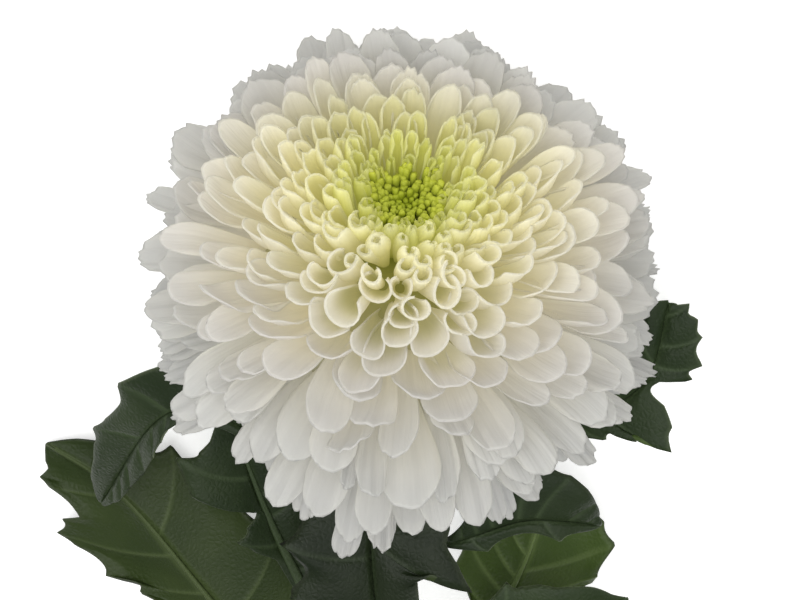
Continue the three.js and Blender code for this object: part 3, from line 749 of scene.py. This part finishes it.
class Curve:
    """Smooth curve through points, measured by its length."""

    def __init__(self, points):
        points = np.array(points, float)
        points = np.concatenate([[2 * points[0] - points[1]], points, [2 * points[-1] - points[-2]]])
        t = np.linspace(0, 1, 60, endpoint=False)[:, None]
        parts = []
        for before, start, end, after in zip(points, points[1:], points[2:], points[3:]):
            leave = (end - before) / 2
            arrive = (after - start) / 2
            parts.append(
                start * (2 * t**3 - 3 * t**2 + 1)
                + leave * (t**3 - 2 * t**2 + t)
                + end * (3 * t**2 - 2 * t**3)
                + arrive * (t**3 - t**2)
            )
        self.line = np.concatenate([*parts, points[-2:-1]])
        self.arc = np.concatenate([[0], np.cumsum(np.linalg.norm(np.diff(self.line, axis=0), axis=1))])
        self.run = unit(np.gradient(self.line, axis=0))
        self.length = self.arc[-1]

    def at(self, distance):
        return read(self.arc, self.line, distance)

    def along(self, distance):
        return unit(read(self.arc, self.run, distance))


STEM = Curve([HEAD_MIDDLE - HEAD[2] * STEM_TOP, *STEM_PATH])


def stem_radius(distance):
    radius = STEM_RADIUS[0] + (STEM_RADIUS[1] - STEM_RADIUS[0]) * distance / STEM.length
    radius = radius + STEM_FLARE * (1 - smooth(0, FLARE_LENGTH, distance))
    for leaf in LEAVES:
        radius = radius + NODE_SWELLING * np.exp(-(((distance - leaf["at"]) / NODE_LENGTH) ** 2))
    return radius


def make_stem(material, cut_material):
    distance = np.linspace(-STEM_INSIDE, STEM.length, STEM_ROWS)
    line = STEM.at(distance) + STEM.along(distance[:1]) * np.minimum(distance, 0)[:, None]
    turn = circle(STEM_SIDES)
    groove = 0.5 - 0.5 * np.cos(turn * STEM_RIBS)
    ribs = 1 - STEM_RIB_DEPTH * groove + 0.02 * np.sin(turn * 3 + distance[:, None] / 60)
    grid = tube(line, stem_radius(distance)[:, None] * ribs, STEM_SIDES)
    slant = stem_radius(STEM.length) * np.sin(turn) * CUT_SLANT
    grid[-1] += STEM.along(STEM.length) * slant[:, None]
    skin = Pile()
    skin.add_grid(grid, turned_over=True, rib=np.tile(groove, len(distance)))
    skin.piece("stem_skin", material, "stem", "stem")
    middle = grid[-1, :-1].mean(axis=0)
    disc = middle + (grid[-1] - middle) * CUT_RINGS[:, None, None]
    face = Pile()
    face.add_grid(disc, turned_over=True, share=np.repeat(CUT_RINGS, len(turn)))
    face.piece("stem_cut", cut_material, "stem", "stem")


def make_bracts(material):
    random = np.random.default_rng(BRACT_SEED)
    pile = Pile()
    s = np.linspace(0, 1, 14)[:, None]
    x = np.linspace(-1, 1, 9)[None, :]
    for row, (base, tip, half) in enumerate(BRACT_ROWS):
        width = half * (0.55 + 0.45 * smooth(0, 0.5, s))
        width = width * np.sqrt(np.clip(1 - (s - 0.45) ** 2 / 0.31, 0.002, 1))
        lift = 0.7 + 0.55 * (len(BRACT_ROWS) - 1 - row)
        for k in range(BRACTS):
            azimuth = (k + row / len(BRACT_ROWS)) * 2 * math.pi / BRACTS + random.normal(0, 0.03)
            end = tip + random.normal(0, 1.2)
            psi = base + (end - base) * s
            distance = look_up(BRACT_BED, psi) + lift + 0.6 * s**3 - 0.3 * x**2
            out = distance * np.sin(np.radians(psi))
            up = distance * np.cos(np.radians(psi))
            grid = np.stack([out, width * x, up], axis=2)
            half_way = face_normals(grid) * BRACT_THICKNESS / 2
            points, faces, source = shell(turned(grid - half_way, azimuth), turned(grid + half_way, azimuth))
            side = np.abs(x + 0 * s).ravel()[source]
            pile.add(in_part(points), faces, side=side, tone=random.uniform(0, 1))
    pile.piece("bracts", material, "bract", "bract_cup")


def outline_rows(rows, count):
    """A blade's half in rows, even along the rib, pointed at teeth and round in notches, and its veins."""
    rows = np.array(rows, float)
    length = np.hypot(rows[:, 1], rows[:, 2])
    rise = np.diff(length)
    tooth = np.pad((rise[:-1] > 0) & (rise[1:] < 0), 1)
    notch = np.pad((rise[:-1] < 0) & (rise[1:] > 0), 1)
    share = np.linspace(0, 1, count)
    left = np.clip(np.searchsorted(rows[:, 0], share, side="right") - 1, 0, len(rows) - 2)
    t = (share - rows[left, 0]) / (rows[left + 1, 0] - rows[left, 0])
    bent = np.where(tooth[left] | notch[left + 1], 1 - (1 - t) ** TOOTH_POINT, t)
    bent = np.where(notch[left] | tooth[left + 1], t**TOOTH_POINT, bent)
    values = rows[left] + (rows[left + 1] - rows[left]) * bent[:, None]
    veins = []
    for k in np.argsort(-length):
        # smooth sides have their veins at their widest places
        if (tooth[k] or tooth.sum() < 2) and all(abs(rows[k, 0] - vein) > VEIN_GAP for vein in veins):
            veins.append(rows[k, 0])
    return share, values[:, 1], values[:, 2], np.sort(veins)


def leaf_spine(leaf):
    along = STEM.along(leaf["at"])
    side = unit(np.cross([0, 0, 1], along))
    up = np.cross(along, side)
    turn = math.radians(leaf["turn"])
    out = side * math.cos(turn) + up * math.sin(turn)
    base = STEM.at(leaf["at"]) + out * (stem_radius(leaf["at"]) * 1.03 + 0.35)
    return Curve([base, base + out * STALK_STEP, *leaf["through"]]), out


def leaf_axes(spine, leaf, distance):
    """Points on the rib, and the directions ahead, across the blade and out of it."""
    forward = spine.along(distance)
    across = unit(np.cross(forward, np.array(leaf["facing"], float)))
    return spine.at(distance), forward, across, np.cross(across, forward)


def add_half_blade(pile, spine, leaf, sign, index):
    """One half of a blade, between the rib and the outline."""
    blade = spine.length * (1 - STALK_SHARE)
    usual = [(foot, side * leaf["half"], ahead * leaf["half"]) for foot, side, ahead in BLADE]
    own = leaf.get("left" if sign < 0 else "right")
    rows = [*own, LEAF_END] if own else usual
    share, to_side, to_front, veins = outline_rows(rows, int(blade / ROW_STEP))
    distance = spine.length * (STALK_SHARE + (1 - STALK_SHARE) * share)
    middle, forward, across, normal = leaf_axes(spine, leaf, distance)
    r = np.linspace(0, 1, LEAF_COLUMNS)[None, :]
    to_side = to_side[:, None]
    to_front = to_front[:, None]
    length = np.hypot(to_side, to_front)
    bow = VEIN_BOW * 4 * r * (1 - r)
    sideways = to_side * r + bow * to_front
    ahead = to_front * r - bow * to_side
    height = sideways * math.sin(LEAF_FOLD) * (1 - 0.25 * r)
    sideways = sideways * math.cos(LEAF_FOLD)
    # the blade bulges between its side veins and waves at its edge
    gaps = np.concatenate([[0], veins, [1]])
    phase = np.interp(share, gaps, np.arange(len(gaps)))[:, None]
    bulge = np.abs(np.sin(np.pi * phase)) ** 0.7
    height = height + 0.9 * bulge * smooth(0, 0.3, r) * (1 - 0.5 * r)
    wave = np.sin(share * 15 + index * 2 + (sign > 0) * 1.3)[:, None]
    height = height + LEAF_WAVE * length * r**2 * wave
    height = height - LEAF_CURL * length * smooth(0.7, 1, r) ** 2
    grid = (
        middle[:, None]
        + across[:, None] * (sideways * sign)[..., None]
        + forward[:, None] * ahead[..., None]
        + normal[:, None] * height[..., None]
    )
    near = np.abs(share[:, None] - veins).min(axis=1)[:, None] * blade * 0.8
    vein = np.exp(-((near / (0.55 - 0.3 * r)) ** 2)) * (1 - 0.4 * r)
    vein = np.maximum(vein, np.exp(-((length * r / 0.7) ** 2)))
    face = face_normals(grid) * -sign
    grid = grid - face * (0.25 * vein)[..., None]
    grid[..., 2] = np.maximum(grid[..., 2], LEAF_FLOOR)
    top = grid + face * LEAF_THICKNESS / 2
    bottom = grid - face * LEAF_THICKNESS / 2
    bottom[..., 2] = np.maximum(bottom[..., 2], FLOOR_GAP)
    points, faces, source = shell(top, bottom)
    parts = [vein.size, vein.size, len(points) - 2 * vein.size]
    pile.add(
        points,
        faces[:, ::-1] if sign < 0 else faces,
        vein=vein.ravel()[source],
        out=(r + 0 * length).ravel()[source],
        under=np.repeat([0, 1, 0.5], parts),
        edge=np.repeat([0, 0, 1], parts),
        tone=leaf.get("tone", 1),
    )


def add_stalk(pile, spine, leaf, out):
    """Stalk and rib, with a groove along the top."""
    distance = np.linspace(0, spine.length * 0.98, STALK_ROWS)
    share = distance / spine.length
    line, _, across, normal = leaf_axes(spine, leaf, distance)
    line[0] = line[0] - out * 2
    radius = STALK_RADIUS * (1 - smooth(0.1, 1, share) * 0.8) * leaf.get("rib", 1)
    radius = radius + 0.5 * (1 - smooth(0, 0.08, share))
    line = line + normal * (leaf.get("rib_lift", -0.75) * radius * smooth(0.1, 0.3, share))[:, None]
    turn = circle(STALK_SIDES)
    groove = 1 - 0.25 * np.exp(-(((turn - math.pi / 2) / 0.5) ** 2))
    grid = round_line(line, across, normal, turn, radius[:, None] * groove)
    grid[..., 2] = np.maximum(grid[..., 2], FLOOR_GAP)
    under = np.tile(0.5 - 0.5 * np.sin(turn), len(distance))
    pile.add_grid(grid, vein=1, out=0, under=under, edge=0, tone=leaf.get("tone", 1))


def make_leaf(leaf, index, material):
    name = f"leaf_{index + 1:02}"
    spine, out = leaf_spine(leaf)
    pile = Pile()
    for sign in (-1, 1):
        add_half_blade(pile, spine, leaf, sign, index)
    add_stalk(pile, spine, leaf, out)
    pile.piece(name + "_blade", material, "leaf", name)


def node_material(name):
    material = bpy.data.materials.new(name)
    material.use_nodes = True
    return material, material.node_tree


def feed(tree, node, inputs):
    """Links or sets the inputs of a node, or of a new one of that kind, and returns its outputs."""
    if isinstance(node, str):
        node = tree.nodes.new("ShaderNode" + node)
    for key, value in inputs.items():
        if isinstance(value, bpy.types.NodeSocket):
            tree.links.new(value, node.inputs[key])
        elif isinstance(value, tuple):
            node.inputs[key].default_value = (*value, 1)
        else:
            node.inputs[key].default_value = value
    return node.outputs


def attribute(tree, name):
    node = tree.nodes.new("ShaderNodeAttribute")
    node.attribute_name = name
    return node.outputs["Fac"]


def ramp(tree, source, *stops):
    """Colour ramp from (position, colour) stops."""
    node = tree.nodes.new("ShaderNodeValToRGB")
    elements = node.color_ramp.elements
    while len(elements) < len(stops):
        elements.new(0.5)
    for element, (position, colour) in zip(elements, stops):
        element.position = position
        element.color = (*colour, 1)
    return feed(tree, node, {"Fac": source})["Color"]


def fade(tree, source, start, end, first=0, last=1):
    """Grey ramp between two positions."""
    return ramp(tree, source, (start, (first, first, first)), (end, (last, last, last)))


def mix(tree, factor, a, b, kind="MIX"):
    node = tree.nodes.new("ShaderNodeMix")
    node.data_type = "RGBA"
    node.blend_type = kind
    return feed(tree, node, {0: factor, 6: a, 7: b})[2]


def math_node(tree, a, b, operation="MULTIPLY"):
    node = tree.nodes.new("ShaderNodeMath")
    node.operation = operation
    return feed(tree, node, {0: a, 1: b})[0]


def own_place(tree):
    return feed(tree, "TexCoord", {})["Object"]


def noise(tree, scale, detail, place):
    return feed(tree, "TexNoise", {"Scale": scale, "Detail": detail, "Vector": place})["Fac"]


def bump(tree, height, strength, distance):
    return feed(tree, "Bump", {"Strength": strength, "Distance": distance, "Height": height})["Normal"]


def tissue(material, colour, roughness, through, normal=None, painted_glow=0, shine=0.3):
    """The material with a diffuse surface of plant tissue, which lets some light through."""
    tree = material.node_tree
    inputs = {"Base Color": colour, "Roughness": roughness, "Specular IOR Level": shine}
    # painted light: the surface gives off light in its own colour, though it is no lamp
    if painted_glow:
        inputs["Emission Color"] = colour
        inputs["Emission Strength"] = painted_glow
    if normal:
        inputs["Normal"] = normal
    surface = feed(tree, tree.nodes["Principled BSDF"], inputs)
    clear = feed(tree, "BsdfTranslucent", {"Color": colour})
    blend = feed(tree, "MixShader", {0: through, 1: surface[0], 2: clear[0]})
    feed(tree, tree.nodes["Material Output"], {0: blend[0]})
    return material


def petal_material():
    material, tree = node_material("petal")
    rank = attribute(tree, "rank")
    tip = ramp(
        tree, rank,
        (0.1, (0.58, 0.6, 0.08)), (0.15, (0.72, 0.72, 0.26)), (0.22, (0.8, 0.77, 0.48)),
        (0.3, (0.81, 0.78, 0.65)), (0.45, (0.7, 0.68, 0.65)), (0.65, (0.63, 0.63, 0.615)),
        (1, (0.54, 0.54, 0.53)),
    )
    root = ramp(
        tree, rank,
        (0.1, (0.38, 0.43, 0.02)), (0.17, (0.62, 0.6, 0.11)), (0.26, (0.76, 0.71, 0.29)),
        (0.4, (0.84, 0.79, 0.59)), (0.6, (0.79, 0.76, 0.66)), (1, (0.62, 0.62, 0.6)),
    )
    # painted shade: each petal darkens towards its root, down in the flower
    root_shade = ramp(
        tree, rank,
        (0.1, (0.16, 0.2, 0.01)), (0.3, (0.34, 0.34, 0.07)), (0.5, (0.5, 0.47, 0.25)),
        (1, (0.5, 0.5, 0.45)),
    )
    along = attribute(tree, "along")
    colour = mix(tree, fade(tree, along, 0.5, 0.97), root, tip)
    colour = mix(tree, fade(tree, along, 0.2, 0.62, 1, 0), colour, root_shade)
    # painted shade: olive darkening inside the petals
    hollow = math_node(tree, attribute(tree, "hollow"), 0.5)
    colour = mix(tree, hollow, colour, (0.42, 0.42, 0.12))
    # painted highlight: the petals' rims are paler, most on the inner cream petals
    rim_highlight = ramp(tree, rank, (0.12, (0.3, 0.3, 0.3)), (0.2, (1, 1, 1)), (0.5, (0.3, 0.3, 0.3)))
    rim_highlight = math_node(tree, math_node(tree, attribute(tree, "rim"), 0.3), rim_highlight)
    colour = mix(tree, rim_highlight, colour, (0.92, 0.91, 0.78))
    # colour that differs at random per petal, with painted shade on the petals above the middle and on the
    # outline
    tones_and_shade = fade(tree, attribute(tree, "tone"), 0, 1, 0.82)
    colour = mix(tree, 1, colour, tones_and_shade, "MULTIPLY")
    # fine lines along the petal
    place = feed(tree, "CombineXYZ", {
        "X": math_node(tree, attribute(tree, "side"), 4.5),
        "Y": math_node(tree, along, 2),
        "Z": attribute(tree, "kind"),
    })[0]
    lines = noise(tree, 1, 3, place)
    colour = mix(tree, 1, colour, fade(tree, lines, 0.3, 0.7, 0.96), "MULTIPLY")
    relief = bump(tree, lines, 0.6, 0.0012)
    # the petals give off painted light, which lifts their shade
    return tissue(material, colour, roughness=0.6, through=0.55, normal=relief, painted_glow=0.37)


def floret_material():
    material, tree = node_material("floret")
    tops = ramp(tree, attribute(tree, "rank"), (0, (0.4, 0.48, 0.012)), (1, (0.68, 0.72, 0.08)))
    top = fade(tree, attribute(tree, "along"), 0.6, 1)
    # darker towards the roots: partly the florets' own darker green, partly painted shade in the gaps
    # between them
    colour = mix(tree, top, (0.1, 0.14, 0.002), tops)
    return tissue(material, colour, roughness=0.55, through=0.3)


def leaf_material():
    material, tree = node_material("leaf")
    place = own_place(tree)
    vein = attribute(tree, "vein")
    patches = fade(tree, noise(tree, 45, 3, place), 0.35, 0.65)
    upper = mix(tree, patches, (0.016, 0.03, 0.009), (0.03, 0.048, 0.017))
    upper = mix(tree, math_node(tree, vein, 0.5), upper, (0.09, 0.13, 0.06))
    lower = mix(tree, patches, (0.05, 0.084, 0.018), (0.072, 0.112, 0.026))
    lower = mix(tree, math_node(tree, vein, 0.55), lower, (0.2, 0.27, 0.1))
    colour = mix(tree, fade(tree, attribute(tree, "under"), 0.45, 0.55), upper, lower)
    rim = fade(tree, attribute(tree, "out"), 0.93, 1, 0, 0.35)
    colour = mix(tree, rim, colour, (0.13, 0.16, 0.09))
    edge = math_node(tree, attribute(tree, "edge"), 0.6)
    colour = mix(tree, edge, colour, (0.2, 0.24, 0.15))
    # painted shade: some leaves are darker copies of the same colour
    colour = mix(tree, 1, colour, fade(tree, attribute(tree, "tone"), 0, 1), "MULTIPLY")
    cells = tree.nodes.new("ShaderNodeTexVoronoi")
    cells.feature = "DISTANCE_TO_EDGE"
    grain = feed(tree, cells, {"Scale": 700, "Vector": place})["Distance"]
    relief = math_node(tree, grain, math_node(tree, noise(tree, 70, 2, place), 2), "ADD")
    relief = bump(tree, relief, 0.35, 0.0007)
    return tissue(material, colour, roughness=0.45, through=0.12, normal=relief, shine=0.22)


def stem_material():
    material, tree = node_material("stem")
    streaks = fade(tree, noise(tree, 90, 3, own_place(tree)), 0.35, 0.65)
    colour = mix(tree, streaks, (0.045, 0.07, 0.022), (0.075, 0.105, 0.036))
    # painted shade: the stem is darker in the grooves between its ribs
    colour = mix(tree, math_node(tree, attribute(tree, "rib"), 0.4), colour, (0.03, 0.05, 0.015))
    return tissue(material, colour, roughness=0.5, through=0.05)


def cut_material():
    material, tree = node_material("cut")
    colour = ramp(
        tree, attribute(tree, "share"),
        (0.45, (0.62, 0.64, 0.44)), (0.62, (0.45, 0.5, 0.24)), (0.85, (0.35, 0.42, 0.16)),
        (0.97, (0.08, 0.12, 0.04)),
    )
    return tissue(material, colour, roughness=0.7, through=0.05)


def bract_material():
    material, tree = node_material("bract")
    colour = ramp(
        tree, attribute(tree, "side"),
        (0, (0.09, 0.14, 0.035)), (0.6, (0.14, 0.19, 0.06)), (0.9, (0.4, 0.38, 0.22)),
    )
    patches = fade(tree, noise(tree, 120, 3, own_place(tree)), 0.3, 0.7, 0, 0.5)
    colour = mix(tree, patches, colour, (0.07, 0.11, 0.03))
    return tissue(material, colour, roughness=0.6, through=0.1)


def make_floor():
    mesh = bpy.data.meshes.new("floor")
    corners = [(x * TABLE_REACH, y * TABLE_REACH, 0) for x, y in ((-1, -1), (1, -1), (1, 1), (-1, 1))]
    mesh.from_pydata(corners, [], [(0, 1, 2, 3)])
    floor = new_object("floor", mesh)
    material, tree = node_material("floor")
    feed(tree, tree.nodes["Principled BSDF"], {
        "Base Color": (0.93, 0.93, 0.93),
        "Emission Color": (1, 1, 1),
        "Emission Strength": TABLE_GLOW,
        "Roughness": 0.95,
        "Specular IOR Level": 0,
    })
    mesh.materials.append(material)


def camera_axes():
    """The camera's right, up and back."""
    back = Vector((0, math.cos(CAMERA_HEIGHT), math.sin(CAMERA_HEIGHT)))
    up = Vector((0, math.sin(CAMERA_HEIGHT), -math.cos(CAMERA_HEIGHT)))
    return up.cross(back), up, back


def make_camera():
    right, up, back = camera_axes()
    camera = bpy.data.cameras.new("camera")
    camera.sensor_width = SENSOR
    camera.lens = PIXELS_PER_MM * CAMERA_DISTANCE * SENSOR / PICTURE_WIDTH
    camera.shift_x = SHIFT[0] / PICTURE_WIDTH
    camera.shift_y = SHIFT[1] / PICTURE_WIDTH
    holder = new_object("camera", camera)
    turn = Matrix((right, up, back)).transposed().to_4x4()
    holder.matrix_world = Matrix.Translation(PICTURE_MIDDLE + back * CAMERA_DISTANCE * MM) @ turn
    bpy.context.scene.camera = holder


def make_light():
    right, up, back = camera_axes()
    lamps = [
        ("key", back * 1 - up * 0.05 - right * 0.3, 1, 8),
        ("fill", back * 0.9 - up * 0.5 + right * 0.3, 1.2, 5.4),
    ]
    for name, way, size, power in lamps:
        data = bpy.data.lights.new(name, "AREA")
        data.size = size
        data.energy = power
        lamp = new_object(name, data)
        lamp.location = PICTURE_MIDDLE + way.normalized() * LAMP_DISTANCE
        lamp.rotation_mode = "QUATERNION"
        lamp.rotation_quaternion = way.to_track_quat("Z", "Y")
    world = bpy.data.worlds.new("world")
    bpy.context.scene.world = world
    world.use_nodes = True
    background = world.node_tree.nodes["Background"]
    background.inputs["Color"].default_value = (1, 1, 1, 1)
    background.inputs["Strength"].default_value = WORLD_LIGHT
    bpy.context.scene.view_settings.view_transform = "Standard"


make_camera()
make_light()
make_floor()
white = petal_material()
make_petals(white)
make_core(white)
make_florets(floret_material())

make_bracts(bract_material())
make_stem(stem_material(), cut_material())
green = leaf_material()
for index, leaf in enumerate(LEAVES):
    make_leaf(leaf, index, green)
